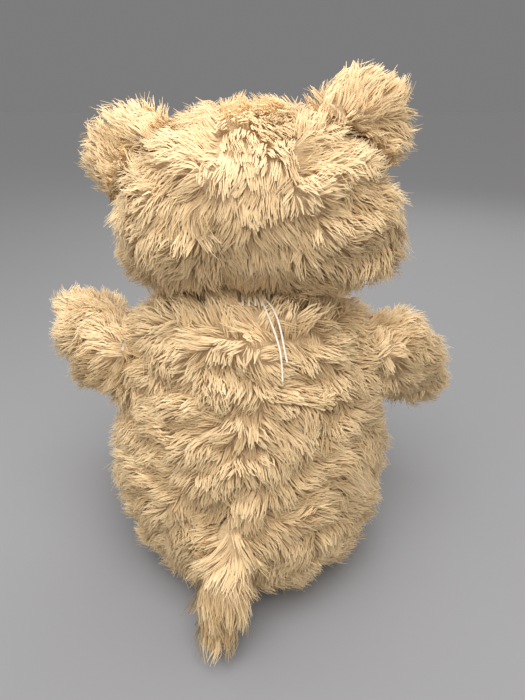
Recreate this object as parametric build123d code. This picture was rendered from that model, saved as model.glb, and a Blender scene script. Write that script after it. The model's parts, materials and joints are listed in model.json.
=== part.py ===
"""A jointed long-pile teddy bear that sits on the floor, one STEP file for each of its pieces.

Millimetres, +Z up. The bear faces -Y, so its left side is +X. The origin lies on the floor, under the
middle of the torso. Every fur piece is as large as its pile stands, because the pile is its outside.
"""

import os
from functools import cache
from math import atan2, cos, pi, radians, sin, sqrt, tan

from build123d import *

os.makedirs("parts", exist_ok=True)

# Cloth and clearances
FUR = 4.0  # a fur cover: backing and the packed foot of the pile
PLUSH = 2.5  # the short-pile linings and pads
SEAM_GAP = 0.2  # between a sewn-on piece and what it is sewn to
FILL_GAP = 0.3  # between a cover and its filling
JOINT_GAP = 0.4  # between a limb and the torso, along the joint's axis
STEM_PLAY = 0.08  # radial play of a stem in its holes

# Torso
TORSO_HEIGHT = 254.0
TORSO_WIDTH = 231.0
TORSO_DEPTH = 186.0
TORSO_LEAN = 22.0  # how far the neck lies ahead of the seat
TORSO_SIDES = 20
FILLING_SIDES = 12  # of every filling, and of the room for it
# height and girth, as shares of the torso's height and of its half widths
TORSO_PROFILE = (
    (0.00, 0.57),
    (0.04, 0.75),
    (0.13, 0.91),
    (0.30, 1.00),
    (0.50, 0.97),
    (0.72, 0.88),
    (0.87, 0.77),
    (0.95, 0.63),
    (1.00, 0.42),
)

# Head
HEAD_WIDTH = 198.0
HEAD_HEIGHT = 130.0
HEAD_DEPTH = 143.0
HEAD_SIDES = 20
HEAD_RINGS = 9
HEAD_SQUARENESS = 2.7  # 2 is an ellipse, more is boxier
CHEEK_DROP = 26.0  # how far the cheeks sag below the middle
CHIN_FLAT = 8.0  # what the neck joint flattens off the head's underside
HEAD_SET_BACK = 5.0  # how far the head's middle lies behind the neck's
HEAD_ASIDE = 5.0  # how far the head sits toward the bear's right
GUSSET_WIDTH = 44.0

# Face
MUZZLE_WIDTH = 80.0
MUZZLE_HEIGHT = 58.0
MUZZLE_REACH = 32.0  # how far the muzzle stands out of the head
MUZZLE_DROP = 20.0  # how far its middle lies below the head's
MUZZLE_RINGS = 6
NOSE_WIDTH = 30.0
NOSE_HEIGHT = 20.0
NOSE_RISE = 9.0
EYE_DIAMETER = 16.0
EYE_SPREAD = 38.0
EYE_RISE = 11.0
EYE_TURN = 18.0  # how far each eye's stem turns outward, in degrees
EYE_TILT = 8.0  # how far it turns upward, in degrees
EYE_STEM = 4.0
EYE_STEM_LENGTH = 15.0
EYE_FLANGE = 2.0
EYE_WASHER = 14.0
EYE_WASHER_THICKNESS = 1.5
MOUTH_THREAD = 1.6
MOUTH_DROP = 13.0
MOUTH_SPREAD = 13.0
MOUTH_LIFT = 18.0  # how steeply the mouth's ends rise, in degrees

# Ears
EAR_DIAMETER = 74.0
EAR_THICKNESS = 26.0
EAR_LINING = 46.0
EAR_REACH = 87.0  # from the head's middle to the ear's
EAR_RISE = {"left": 17.0, "right": 34.0}  # degrees above level, as the ears have set
EAR_TOE = 18.0  # how far each ear's front turns inward, in degrees
EAR_BACK = 2.0
EAR_PROFILE = ((0.0, 0.66), (0.25, 0.94), (0.5, 1.0), (0.75, 0.94), (1.0, 0.70))

# Arms
ARM_DIAMETER = 68.0
ARM_LENGTH = 114.0
ARM_HEEL = 36.0  # how far the arm reaches past its joint's axis, away from the paw
ARM_SEAT = 20.0  # from the joint's plane to the middle of the arm
ARM_SPLAY = {"left": 31.0, "right": 24.0}  # between the arm and its joint's plane, in degrees
ARM_SWING = {"left": 92.0, "right": 38.0}  # forward from hanging down, in degrees
ARM_SIDES = 16
ARM_PROFILE = (
    (0.00, 0.45),
    (0.07, 0.78),
    (0.22, 0.98),
    (0.40, 0.95),
    (0.62, 0.92),
    (0.82, 0.92),
    (0.94, 0.68),
    (1.00, 0.36),
)
SHOULDER_HEIGHT = 186.0
SHOULDER_FLAT = 7.0  # how deep the joint's disc flattens the shoulder

# Legs
THIGH_DIAMETER = 86.0
THIGH_WIDTH = 70.0
HIP_SPREAD = 46.0  # from the middle to each hip joint's plane
HIP_FORWARD = 50.0
HIP_HEIGHT = 44.0
LEG_DIAMETER = 67.0
LEG_REACH = 112.0  # from the hip's axis to the sole
LEG_TOE = 9.0  # how far each leg points outward, in degrees
LEG_LIFT = 10.0  # how far a leg can rise from level, in degrees
LEG_DROP = 95.0  # how far it can turn down, just past standing, in degrees
LEG_SIDES = 16
FOOT_HEIGHT = 86.0
FOOT_WIDTH = 76.0
FOOT_LENGTH = 42.0
SOLE_SHARE = 0.72  # the flat sole against the foot's girth
PAD_SHARE = 0.86  # the pad against the sole
THIGH_PROFILE = ((0.00, 0.90), (0.10, 1.00), (0.62, 1.00), (0.86, 0.86), (1.00, 0.56))
LEG_PROFILE = ((0.00, 1.00), (0.45, 0.94), (1.00, 0.98))
FOOT_PROFILE = ((0.00, 0.72), (0.30, 1.00), (0.72, 0.96), (1.00, SOLE_SHARE))
HIP_CLEARANCE = 1.2  # round the thigh, in the torso's hollow for it

# Disc joints
DISC_DIAMETER = 42.0
DISC_THICKNESS = 2.5
STEM_DIAMETER = 8.0
STEM_END = 2.0
LOCK_WIDTH = 16.0
LOCK_THICKNESS = 3.0
LOCK_SIDES = 6  # a push-on washer grips its stem with the flats of its hole
DISC_GAP = 0.3  # between the back disc and its lock washer
POCKET_PLAY = 1.0  # round and behind discs and washers, in the fillings

# Tail
TAIL_LENGTH = 106.0
TAIL_WIDTH = 44.0
TAIL_THICKNESS = 26.0
TAIL_SIDES = 14
TAIL_ROOT_HEIGHT = 101.0
TAIL_ROOT_ASIDE = 7.0
TAIL_LEAN = 21.0  # backward from hanging straight down, in degrees
TAIL_SWING = 11.0  # toward the bear's left, in degrees
TAIL_PROFILE = ((0.00, 0.60), (0.14, 0.86), (0.55, 1.00), (0.82, 0.86), (1.00, 0.42))

# Closing thread
THREAD = 1.3
THREAD_SIDES = 8
STITCHES = 6
STITCH_PITCH = 4.4
STITCH_LENGTH = 5.0
STITCH_ASIDE = 13.0  # the first stitch, left of the middle
STITCH_DROP = 3.2  # from the torso's top to the middle of the stitches
LONG_STRAND = (
    (-8.8, 23.4, 250.4),
    (-10.2, 29.6, 249.0),
    (-13.2, 36.4, 244.2),
    (-16.4, 41.8, 237.4),
    (-19.4, 47.2, 230.2),
    (-22.0, 53.2, 220.8),
    (-22.6, 59.8, 206.6),
)
SHORT_STRAND = (
    (-9.6, 21.2, 251.5),
    (-13.6, 27.2, 250.6),
    (-18.4, 35.2, 245.4),
    (-21.6, 43.4, 236.4),
    (-23.6, 50.0, 226.6),
    (-25.6, 55.0, 218.4),
)

NECK_HEIGHT = TORSO_HEIGHT + JOINT_GAP / 2
HEAD_MIDDLE = NECK_HEIGHT + HEAD_HEIGHT / 2 - CHIN_FLAT
HEAD_BACK = HEAD_SET_BACK - TORSO_LEAN  # the head's middle in Y
FACE_FRONT = HEAD_BACK - HEAD_DEPTH / 2
SIDES = {"left": 1, "right": -1}
BIG = 3 * (TORSO_HEIGHT + HEAD_WIDTH)


def keep(name, solid):
    """Writes one piece to a file of its own."""
    export_step(solid, f"parts/{name}.step")


def rounded(share, power):
    """The other coordinate of a superellipse of unit half axes."""
    return max(0.0, 1 - abs(share) ** power) ** (1 / power)


def ring_form(rings, sides):
    """A convex form through level rings: each has a height, two half widths and a shift along X and Y."""
    points = []
    for height, half_x, half_y, shift_x, shift_y in rings:
        for step in range(sides):
            angle = 2 * pi * (step + 0.5) / sides
            points.append((shift_x + half_x * cos(angle), shift_y + half_y * sin(angle), height))
    return ConvexPolyhedron(points)


def spindle(length, half_x, half_y, profile, sides, inset=0.0, lean=0.0):
    """A stuffed tube along +Z from the origin that leans toward -Y, its skin moved inward by the inset."""
    rings = []
    for along, girth in profile:
        height = inset + along * (length - 2 * inset)
        shift = -lean * height / length
        rings.append((height, (half_x - inset) * girth, (half_y - inset) * girth, 0.0, shift))
    return ring_form(rings, sides if inset <= 0 else FILLING_SIDES)


def beyond(plane, distance):
    """Everything further along a plane's normal than the distance."""
    return plane * Pos(0, 0, distance) * Box(BIG, BIG, BIG, align=(Align.CENTER, Align.CENTER, Align.MIN))


def torso_half_width(height, inset=0.0):
    """The torso's half width at a height, between the rings of its profile."""
    share = height / TORSO_HEIGHT
    for (low, low_girth), (high, high_girth) in zip(TORSO_PROFILE, TORSO_PROFILE[1:]):
        if share <= high:
            girth = low_girth + (high_girth - low_girth) * (share - low) / (high - low)
            return (TORSO_WIDTH / 2 - inset) * girth
    return (TORSO_WIDTH / 2 - inset) * TORSO_PROFILE[-1][1]


def torso_middle(height):
    """The torso's middle in Y at a height."""
    return -TORSO_LEAN * height / TORSO_HEIGHT


def shoulder_plane(side):
    """The plane between an arm and the torso, its normal outward and its X axis down the torso's side."""
    step = TORSO_HEIGHT / 20
    drop = torso_half_width(SHOULDER_HEIGHT - step) - torso_half_width(SHOULDER_HEIGHT + step)
    lean = atan2(drop, 2 * step)
    reach = torso_half_width(SHOULDER_HEIGHT) - SHOULDER_FLAT
    sign = SIDES[side]
    return Plane(
        origin=(sign * reach, torso_middle(SHOULDER_HEIGHT), SHOULDER_HEIGHT),
        x_dir=(sign * sin(lean), 0, -cos(lean)),
        z_dir=(sign * cos(lean), 0, sin(lean)),
    )


def hip_plane(side):
    """The plane between a leg and the torso, its normal outward and its X axis forward."""
    sign = SIDES[side]
    return Plane(origin=(sign * HIP_SPREAD, -HIP_FORWARD, HIP_HEIGHT), x_dir=(0, -1, 0), z_dir=(sign, 0, 0))


def neck_plane():
    """The level plane between the head and the torso."""
    return Plane(origin=(0, torso_middle(NECK_HEIGHT), NECK_HEIGHT), x_dir=(1, 0, 0), z_dir=(0, 0, 1))


JOINT_PLANES = {
    "neck": neck_plane(),
    "left_shoulder": shoulder_plane("left"),
    "right_shoulder": shoulder_plane("right"),
    "left_hip": hip_plane("left"),
    "right_hip": hip_plane("right"),
}


def hip_hollow(side, margin):
    """Room in the torso for a thigh that turns about the hip, open forward and down."""
    plane = hip_plane(side)
    radius = THIGH_DIAMETER / 2 + HIP_CLEARANCE + margin
    outline = RegularPolygon(radius, LEG_SIDES, major_radius=False)
    outline += Pos(BIG / 2, 0) * Rectangle(BIG, 2 * radius)
    shank = LEG_DIAMETER + 2 * (HIP_CLEARANCE + margin)
    for turn in (-LEG_LIFT, LEG_DROP):
        outline += Rot(0, 0, SIDES[side] * turn) * Pos(BIG / 2, 0) * Rectangle(BIG, shank)
    return plane * Pos(0, 0, -JOINT_GAP / 2 - margin) * extrude(outline, BIG)


@cache
def torso_form(inset):
    """The torso, flattened at its joints and hollowed for the thighs."""
    half_x = TORSO_WIDTH / 2
    half_y = TORSO_DEPTH / 2
    form = spindle(TORSO_HEIGHT, half_x, half_y, TORSO_PROFILE, TORSO_SIDES, inset, TORSO_LEAN)
    for side in SIDES:
        form -= beyond(JOINT_PLANES[f"{side}_shoulder"], -JOINT_GAP / 2 - inset)
        form -= hip_hollow(side, inset)
    return form


@cache
def head_form(inset):
    """The wide head, flattened underneath at the neck joint."""
    half_width = HEAD_WIDTH / 2 - inset
    rings = []
    for step in range(HEAD_RINGS + 1):
        share = sin(pi * (step / HEAD_RINGS - 0.5))
        girth = max(rounded(share, HEAD_SQUARENESS), 0.12)
        half_x = (HEAD_HEIGHT / 2 - inset) * girth
        half_y = (HEAD_DEPTH / 2 - inset) * girth
        rings.append((share * half_width, half_x, half_y, CHEEK_DROP * share**2, 0.0))
    sides = HEAD_SIDES if inset <= 0 else FILLING_SIDES
    form = Pos(-HEAD_ASIDE, HEAD_BACK, HEAD_MIDDLE) * Rot(0, 90, 0) * ring_form(rings, sides)
    under = Plane(origin=(0, 0, NECK_HEIGHT), z_dir=(0, 0, -1))
    return form - beyond(under, -JOINT_GAP / 2 - inset)


def arm_form(side, inset):
    """An arm from its shoulder joint to its paw, flat where it meets the torso."""
    plane = JOINT_PLANES[f"{side}_shoulder"]
    form = spindle(ARM_LENGTH, ARM_DIAMETER / 2, ARM_DIAMETER / 2, ARM_PROFILE, ARM_SIDES, inset)
    form = Pos(0, 0, -ARM_HEEL) * form
    form = Rot(0, 90 - ARM_SPLAY[side], 0) * form
    form = Pos(0, 0, ARM_SEAT) * form
    form = plane * Rot(0, 0, -SIDES[side] * ARM_SWING[side]) * form
    facing = Plane(origin=plane.origin, z_dir=plane.z_dir * -1)
    return form - beyond(facing, -JOINT_GAP / 2 - inset)


def foot_plane(side):
    """The plane of a sole, its normal away from the hip along the leg."""
    sign = SIDES[side]
    aside = sign * (HIP_SPREAD + JOINT_GAP / 2 + THIGH_WIDTH / 2)
    toe = radians(LEG_TOE)
    ahead = (sign * sin(toe), -cos(toe), 0)
    origin = Vector(aside, -HIP_FORWARD, HIP_HEIGHT) + Vector(*ahead) * LEG_REACH
    return Plane(origin=origin, x_dir=(0, 0, 1), z_dir=ahead)


def leg_form(side, inset):
    """A leg: the round thigh that turns in the hip, the shank and the foot with its flat sole."""
    sole = foot_plane(side)
    thigh = spindle(THIGH_WIDTH, THIGH_DIAMETER / 2, THIGH_DIAMETER / 2, THIGH_PROFILE, LEG_SIDES, inset)
    form = JOINT_PLANES[f"{side}_hip"] * Pos(0, 0, JOINT_GAP / 2) * thigh
    shank = spindle(
        LEG_REACH - FOOT_LENGTH / 2 + 2 * inset, LEG_DIAMETER / 2, LEG_DIAMETER / 2, LEG_PROFILE, LEG_SIDES, inset
    )
    form += sole * Pos(0, 0, -LEG_REACH - inset) * shank
    foot = spindle(FOOT_LENGTH, FOOT_HEIGHT / 2, FOOT_WIDTH / 2, FOOT_PROFILE, LEG_SIDES, inset)
    form += sole * Pos(0, 0, -FOOT_LENGTH) * foot
    return form - beyond(Plane(origin=(0, 0, 0), z_dir=(0, 0, -1)), -inset)


def muzzle_form(outset):
    """The muzzle, a dome that stands out of the face."""
    half_reach = MUZZLE_REACH * 1.6
    rings = []
    for step in range(MUZZLE_RINGS + 1):
        share = sin(pi * (step / MUZZLE_RINGS - 0.5))
        girth = max(rounded(share, 2.3), 0.1)
        half_x = (MUZZLE_WIDTH / 2 + outset) * girth
        half_y = (MUZZLE_HEIGHT / 2 + outset) * girth
        rings.append((share * (half_reach + outset), half_x, half_y, 0.0, 0.0))
    front = FACE_FRONT - MUZZLE_REACH + half_reach
    return Pos(-HEAD_ASIDE, front, HEAD_MIDDLE - MUZZLE_DROP) * Rot(90, 0, 0) * ring_form(rings, TORSO_SIDES)


def cylinder_along(plane, radius, start, end):
    """A round bar along a plane's normal, from one distance to another."""
    bar = Cylinder(radius, end - start, align=(Align.CENTER, Align.CENTER, Align.MIN))
    return plane * Pos(0, 0, start) * bar


def prism_along(plane, radius, start, end, sides=16):
    """A many-sided bar along a plane's normal, clear of the round one of the same radius."""
    return plane * Pos(0, 0, start) * extrude(RegularPolygon(radius, sides, major_radius=False), end - start)


def joint_pocket(plane):
    """Room in both fillings for a joint's discs and stem."""
    wall = JOINT_GAP / 2 + FUR
    room = DISC_DIAMETER / 2 + POCKET_PLAY
    behind = wall + 2 * DISC_THICKNESS + LOCK_THICKNESS + STEM_END + POCKET_PLAY
    return prism_along(plane, room, -behind, wall + DISC_THICKNESS + FILL_GAP)


def stem_hole(plane):
    """The hole for a joint's stem, through both covers."""
    reach = JOINT_GAP / 2 + FUR + FILL_GAP
    return cylinder_along(plane, STEM_DIAMETER / 2 + STEM_PLAY, -reach, reach)


def eye_plane(side):
    """The plane across an eye's stem where it leaves the face, its normal outward."""
    sign = SIDES[side]
    girth = rounded(EYE_SPREAD / (HEAD_WIDTH / 2), HEAD_SQUARENESS)
    rise = EYE_RISE / (HEAD_HEIGHT / 2)
    front = HEAD_BACK - HEAD_DEPTH / 2 * sqrt(girth**2 - rise**2)
    turn = radians(EYE_TURN)
    tilt = radians(EYE_TILT)
    ahead = (sign * sin(turn) * cos(tilt), -cos(turn) * cos(tilt), sin(tilt))
    return Plane(origin=(sign * EYE_SPREAD - HEAD_ASIDE, front, HEAD_MIDDLE + EYE_RISE), z_dir=ahead)


def ear_plane(side):
    """The plane of an ear's middle, its normal forward out of the ear's front."""
    sign = SIDES[side]
    rise = radians(EAR_RISE[side])
    aside = sign * EAR_REACH * cos(rise) - HEAD_ASIDE
    middle = (aside, HEAD_BACK + EAR_BACK, HEAD_MIDDLE + EAR_REACH * sin(rise))
    toe = radians(EAR_TOE)
    return Plane(origin=middle, x_dir=(0, 0, 1), z_dir=(-sign * sin(toe), -cos(toe), 0))


def make_torso():
    """The two torso covers, sewn down the middle, and the filling they hold."""
    hollow = torso_form(FUR)
    cover = torso_form(0) - hollow
    filling = torso_form(FUR + FILL_GAP)
    top = Plane(origin=(0, 0, TORSO_HEIGHT), z_dir=(0, 0, 1))
    holes = [stem_hole(plane) for plane in JOINT_PLANES.values()]
    pockets = [joint_pocket(plane) for plane in JOINT_PLANES.values()]
    cover -= holes
    filling -= pockets
    for side, sign in SIDES.items():
        half = cover & Box(BIG, BIG, BIG, align=(Align.MIN if sign > 0 else Align.MAX, Align.CENTER, Align.CENTER))
        keep(f"torso_{side}_cover", half)
    keep("torso_filling", filling - beyond(top, -FUR - FILL_GAP))


def make_head():
    """The head's gusset between its two side covers, and the filling."""
    cover = head_form(0) - head_form(FUR)
    cover -= stem_hole(JOINT_PLANES["neck"])
    filling = head_form(FUR + FILL_GAP) - joint_pocket(JOINT_PLANES["neck"])
    for side in SIDES:
        plane = eye_plane(side)
        cover -= cylinder_along(plane, EYE_STEM / 2, -EYE_STEM_LENGTH, EYE_DIAMETER)
        room = EYE_WASHER / 2 + POCKET_PLAY
        filling -= prism_along(plane, room, -EYE_STEM_LENGTH - POCKET_PLAY, EYE_DIAMETER)
    strip = Pos(-HEAD_ASIDE, 0, 0) * Box(GUSSET_WIDTH, BIG, BIG)
    keep("head_gusset", cover & strip)
    for side, sign in SIDES.items():
        align = (Align.MIN if sign > 0 else Align.MAX, Align.CENTER, Align.CENTER)
        seam = sign * GUSSET_WIDTH / 2 - HEAD_ASIDE
        keep(f"head_{side}_cover", cover & Pos(seam, 0, 0) * Box(BIG, BIG, BIG, align=align))
    keep("head_filling", filling)


def make_face():
    """The muzzle with its nose and stitched mouth, and the safety eyes with their washers."""
    face = head_form(-SEAM_GAP)
    muzzle = muzzle_form(0) - face
    muzzle -= Pos(0, HEAD_BACK, 0) * Box(BIG, BIG, BIG, align=(Align.CENTER, Align.MIN, Align.CENTER))
    keep("muzzle", muzzle)
    tip = FACE_FRONT - MUZZLE_REACH
    middle = HEAD_MIDDLE - MUZZLE_DROP
    nose_rings = [
        (depth * NOSE_HEIGHT / 2, NOSE_WIDTH / 2 * girth, NOSE_HEIGHT / 2 * girth, 0.0, 0.0)
        for depth, girth in ((-1.0, 0.9), (0.0, 1.0), (0.28, 0.85), (0.42, 0.5))
    ]
    nose = Pos(-HEAD_ASIDE, tip, middle + NOSE_RISE) * Rot(90, 0, 0) * ring_form(nose_rings, 20)
    keep("nose", nose - muzzle_form(SEAM_GAP))
    laid = muzzle_form(SEAM_GAP + MOUTH_THREAD) - muzzle_form(SEAM_GAP)
    laid &= Pos(-HEAD_ASIDE, tip, middle) * Box(MUZZLE_WIDTH, MUZZLE_REACH, MUZZLE_HEIGHT)
    below_nose = middle + NOSE_RISE - NOSE_HEIGHT / 2 - SEAM_GAP
    run = below_nose - (middle - MOUTH_DROP) + MOUTH_THREAD
    line = Pos(0, 0, below_nose - run / 2) * Box(MOUTH_THREAD, BIG, run)
    lips = line
    for sign in SIDES.values():
        bar = Box(MOUTH_SPREAD, BIG, MOUTH_THREAD, align=(Align.MIN, Align.CENTER, Align.MIN))
        turned = Pos(MOUTH_THREAD / 2, 0, middle - MOUTH_DROP - MOUTH_THREAD) * Rot(0, -MOUTH_LIFT, 0) * bar
        lips += turned if sign > 0 else mirror(turned, about=Plane.YZ)
    keep("mouth_stitches", laid & Pos(-HEAD_ASIDE, 0, 0) * lips)
    for side in SIDES:
        plane = eye_plane(side)
        dome = plane * Pos(0, 0, -EYE_FLANGE) * Sphere(EYE_DIAMETER / 2)
        eye = dome - beyond(Plane(origin=plane.origin, z_dir=plane.z_dir * -1), EYE_FLANGE) - face
        eye += cylinder_along(plane, EYE_STEM / 2, -EYE_STEM_LENGTH, EYE_FLANGE)
        keep(f"{side}_eye", eye)
        inner = FUR + SEAM_GAP + EYE_WASHER_THICKNESS * 1.4
        washer = prism_along(plane, EYE_WASHER / 2, -inner - EYE_WASHER_THICKNESS, -FUR)
        washer -= prism_along(plane, EYE_STEM / 2, -BIG / 2, 0, LOCK_SIDES)
        keep(f"{side}_eye_washer", washer & head_form(FUR + SEAM_GAP))


def make_ears():
    """Two round fur ears sewn to the head, each with a short-pile lining in its front."""
    face = head_form(-SEAM_GAP)
    for side in SIDES:
        plane = ear_plane(side)
        radius = EAR_DIAMETER / 2
        ear = plane * Pos(0, 0, -EAR_THICKNESS / 2) * spindle(EAR_THICKNESS, radius, radius, EAR_PROFILE, TORSO_SIDES)
        lining = prism_along(plane, EAR_LINING / 2, EAR_THICKNESS / 2 - PLUSH, EAR_THICKNESS / 2)
        keep(f"{side}_ear", ear - lining - face)
        keep(f"{side}_ear_lining", lining - face)


def make_limbs():
    """Arms and legs, each a cover and its filling, and the pads on the soles."""
    for side in SIDES:
        shoulder = JOINT_PLANES[f"{side}_shoulder"]
        hip = JOINT_PLANES[f"{side}_hip"]
        arm = arm_form(side, 0) - arm_form(side, FUR)
        keep(f"{side}_arm_cover", arm - stem_hole(shoulder))
        keep(f"{side}_arm_filling", arm_form(side, FUR + FILL_GAP) - joint_pocket(shoulder))
        leg = leg_form(side, 0) - leg_form(side, FUR)
        keep(f"{side}_leg_cover", leg - stem_hole(hip))
        keep(f"{side}_leg_filling", leg_form(side, FUR + FILL_GAP) - joint_pocket(hip))
        share = SOLE_SHARE * PAD_SHARE
        pad = [(height, FOOT_HEIGHT / 2 * share, FOOT_WIDTH / 2 * share, 0.0, 0.0) for height in (0.0, PLUSH)]
        keep(f"{side}_foot_pad", foot_plane(side) * ring_form(pad, LEG_SIDES))


def make_joints():
    """Five disc joints: a stem disc in the limb, a back disc in the torso and the lock washer between."""
    owners = {
        "neck": "neck",
        "left_shoulder": "left_arm",
        "right_shoulder": "right_arm",
        "left_hip": "left_leg",
        "right_hip": "right_leg",
    }
    wall = JOINT_GAP / 2 + FUR
    back_face = -wall - DISC_THICKNESS
    lock_face = back_face - DISC_GAP
    stem_tip = lock_face - LOCK_THICKNESS - STEM_END
    back_discs = []
    for name, plane in JOINT_PLANES.items():
        stem = cylinder_along(plane, STEM_DIAMETER / 2, stem_tip, wall)
        stem += cylinder_along(plane, DISC_DIAMETER / 2, wall, wall + DISC_THICKNESS)
        keep(f"{owners[name]}_stem_disc", stem)
        back = cylinder_along(plane, DISC_DIAMETER / 2, back_face, -wall)
        back_discs.append(back - cylinder_along(plane, STEM_DIAMETER / 2 + STEM_PLAY, back_face - 1, 0))
        lock = prism_along(plane, LOCK_WIDTH / 2, lock_face - LOCK_THICKNESS, lock_face, LOCK_SIDES)
        lock -= prism_along(plane, STEM_DIAMETER / 2, stem_tip - 1, 0, LOCK_SIDES)
        keep(f"{owners[name]}_lock_washer", lock)
    keep("joint_back_discs", Compound(children=back_discs))


def make_tail():
    """The tail, a long flat tuft sewn low on the back that hangs to the floor."""
    back = torso_middle(TAIL_ROOT_HEIGHT) + TORSO_DEPTH / 2
    form = spindle(TAIL_LENGTH, TAIL_WIDTH / 2, TAIL_THICKNESS / 2, TAIL_PROFILE, TAIL_SIDES)
    form = Rot(180 + TAIL_LEAN, 0, 0) * form
    form = Rot(0, -TAIL_SWING, 0) * form
    form = Pos(TAIL_ROOT_ASIDE, back - TAIL_THICKNESS / 4, TAIL_ROOT_HEIGHT) * form
    form -= beyond(Plane(origin=(0, 0, 0), z_dir=(0, 0, -1)), 0)
    keep("tail", form - torso_form(-SEAM_GAP))


def strand(points):
    """A thread along straight runs joined by arcs as large as the runs allow, and its arcs' radii."""
    route = [Vector(*point) for point in points]
    radii = []
    for before, here, after in zip(route, route[1:], route[2:]):
        turn = radians((here - before).get_angle(after - here))
        shorter = min((here - before).length, (after - here).length)
        radii.append(0.45 * shorter / tan(turn / 2))
    path = FilletPolyline(*route, radius=radii)
    start = Plane(origin=route[0], z_dir=path % 0)
    section = RegularPolygon(THREAD / 2, THREAD_SIDES)
    tube = sweep(start * section, path=path)
    expected = section.area * path.length
    print("strand radii", [round(value, 1) for value in radii])
    print("strand length", round(path.length, 1), "volume", round(tube.volume, 2), "of", round(expected, 2))
    return tube


def make_thread():
    """The closing stitches across the nape, and the two loose ends of their thread."""
    laid = torso_form(-SEAM_GAP - THREAD) - torso_form(-SEAM_GAP)
    stitches = []
    for step in range(STITCHES):
        aside = STITCH_ASIDE - step * STITCH_PITCH
        slot = Box(THREAD, BIG, STITCH_LENGTH, align=(Align.CENTER, Align.MIN, Align.CENTER))
        stitches.append(laid & Pos(aside, 0, TORSO_HEIGHT - STITCH_DROP) * slot)
    keep("nape_stitches", Compound(children=stitches))
    keep("long_thread_end", strand(LONG_STRAND))
    keep("short_thread_end", strand(SHORT_STRAND))


make_torso()
make_head()
make_face()
make_ears()
make_limbs()
make_joints()
make_tail()
make_thread()
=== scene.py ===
"""A jointed long-pile teddy bear that sits on the floor. Metres, +Z up; the bear faces -Y."""

import json
from math import pi, radians

import bpy
import numpy as np
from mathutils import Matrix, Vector
from mathutils.bvhtree import BVHTree
from mathutils.kdtree import KDTree

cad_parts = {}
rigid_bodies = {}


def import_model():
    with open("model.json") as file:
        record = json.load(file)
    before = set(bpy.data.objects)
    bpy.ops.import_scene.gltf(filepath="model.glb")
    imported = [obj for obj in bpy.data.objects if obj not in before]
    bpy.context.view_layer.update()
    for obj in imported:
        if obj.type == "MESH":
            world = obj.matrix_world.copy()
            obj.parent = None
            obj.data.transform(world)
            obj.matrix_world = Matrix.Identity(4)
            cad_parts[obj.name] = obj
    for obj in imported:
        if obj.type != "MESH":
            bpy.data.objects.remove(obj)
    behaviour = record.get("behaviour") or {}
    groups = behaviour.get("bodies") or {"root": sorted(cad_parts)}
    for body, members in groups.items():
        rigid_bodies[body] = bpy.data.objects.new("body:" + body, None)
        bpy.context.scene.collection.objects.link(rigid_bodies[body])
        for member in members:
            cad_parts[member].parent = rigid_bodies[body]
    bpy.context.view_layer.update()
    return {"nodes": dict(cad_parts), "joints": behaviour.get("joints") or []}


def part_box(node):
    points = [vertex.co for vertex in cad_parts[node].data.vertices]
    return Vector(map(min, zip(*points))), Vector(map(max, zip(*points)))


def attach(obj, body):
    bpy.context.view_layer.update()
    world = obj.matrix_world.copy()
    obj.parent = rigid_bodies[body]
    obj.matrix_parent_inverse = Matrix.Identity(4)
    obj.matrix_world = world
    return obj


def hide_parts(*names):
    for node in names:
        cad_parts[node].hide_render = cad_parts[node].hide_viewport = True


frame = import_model()

# Camera. It stands behind the bear at arm's reach, as high as its head, and looks down on its back
# through a short lens, so the head looks large and the seat small.
LOOKS_DOWN = 26.87  # degrees below level


def placed(name, data):
    """A new object in the scene for this data."""
    made = bpy.data.objects.new(name, data)
    bpy.context.scene.collection.objects.link(made)
    return made


camera_data = bpy.data.cameras.new("camera")
camera_data.sensor_width = 36.0
camera_data.lens = 27.2
camera_data.shift_x = 0.0196
camera_data.clip_start = 0.01
camera = placed("camera", camera_data)
camera.location = (0.0, 0.3653, 0.385)
camera.rotation_euler = (radians(90 - LOOKS_DOWN), 0.0, radians(180))
bpy.context.scene.camera = camera
bpy.context.scene.view_settings.view_transform = "Standard"


# Floor and light. A grey matt floor that runs out of sight, an even warm sky, a soft key lamp over the
# bear's back and a wider, weaker fill in front. Seen straight or in a gloss, the sky is floor grey.
class Wire:
    """A socket, so that a sum of patterns reads as a sum."""

    def __init__(self, patterns, socket):
        self.patterns = patterns
        self.socket = socket

    def __add__(self, other):
        return self.patterns.maths("ADD", self, other)

    def __mul__(self, other):
        return self.patterns.maths("MULTIPLY", self, other)

    __radd__ = __add__
    __rmul__ = __mul__


class Patterns:
    """The nodes of a material or of the sky, written as expressions."""

    def __init__(self, owner):
        owner.use_nodes = True
        self.tree = owner.node_tree

    def node(self, kind, settings, sockets, output=0):
        """A node with its settings made first, then its sockets set or wired."""
        made = self.tree.nodes.new(kind)
        for setting, value in settings.items():
            if setting == "stops":
                ramp = made.color_ramp
                while len(ramp.elements) < len(value):
                    ramp.elements.new(0.5)
                for element, (place, colour) in zip(ramp.elements, value):
                    element.position = place
                    element.color = (*colour, 1.0)
            else:
                setattr(made, setting, value)
        for socket, value in sockets.items():
            if isinstance(value, Wire):
                self.tree.links.new(value.socket, made.inputs[socket])
            else:
                made.inputs[socket].default_value = value
        return Wire(self, made.outputs[output])

    def maths(self, operation, first, second):
        return self.node("ShaderNodeMath", {"operation": operation}, {0: first, 1: second})


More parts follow.
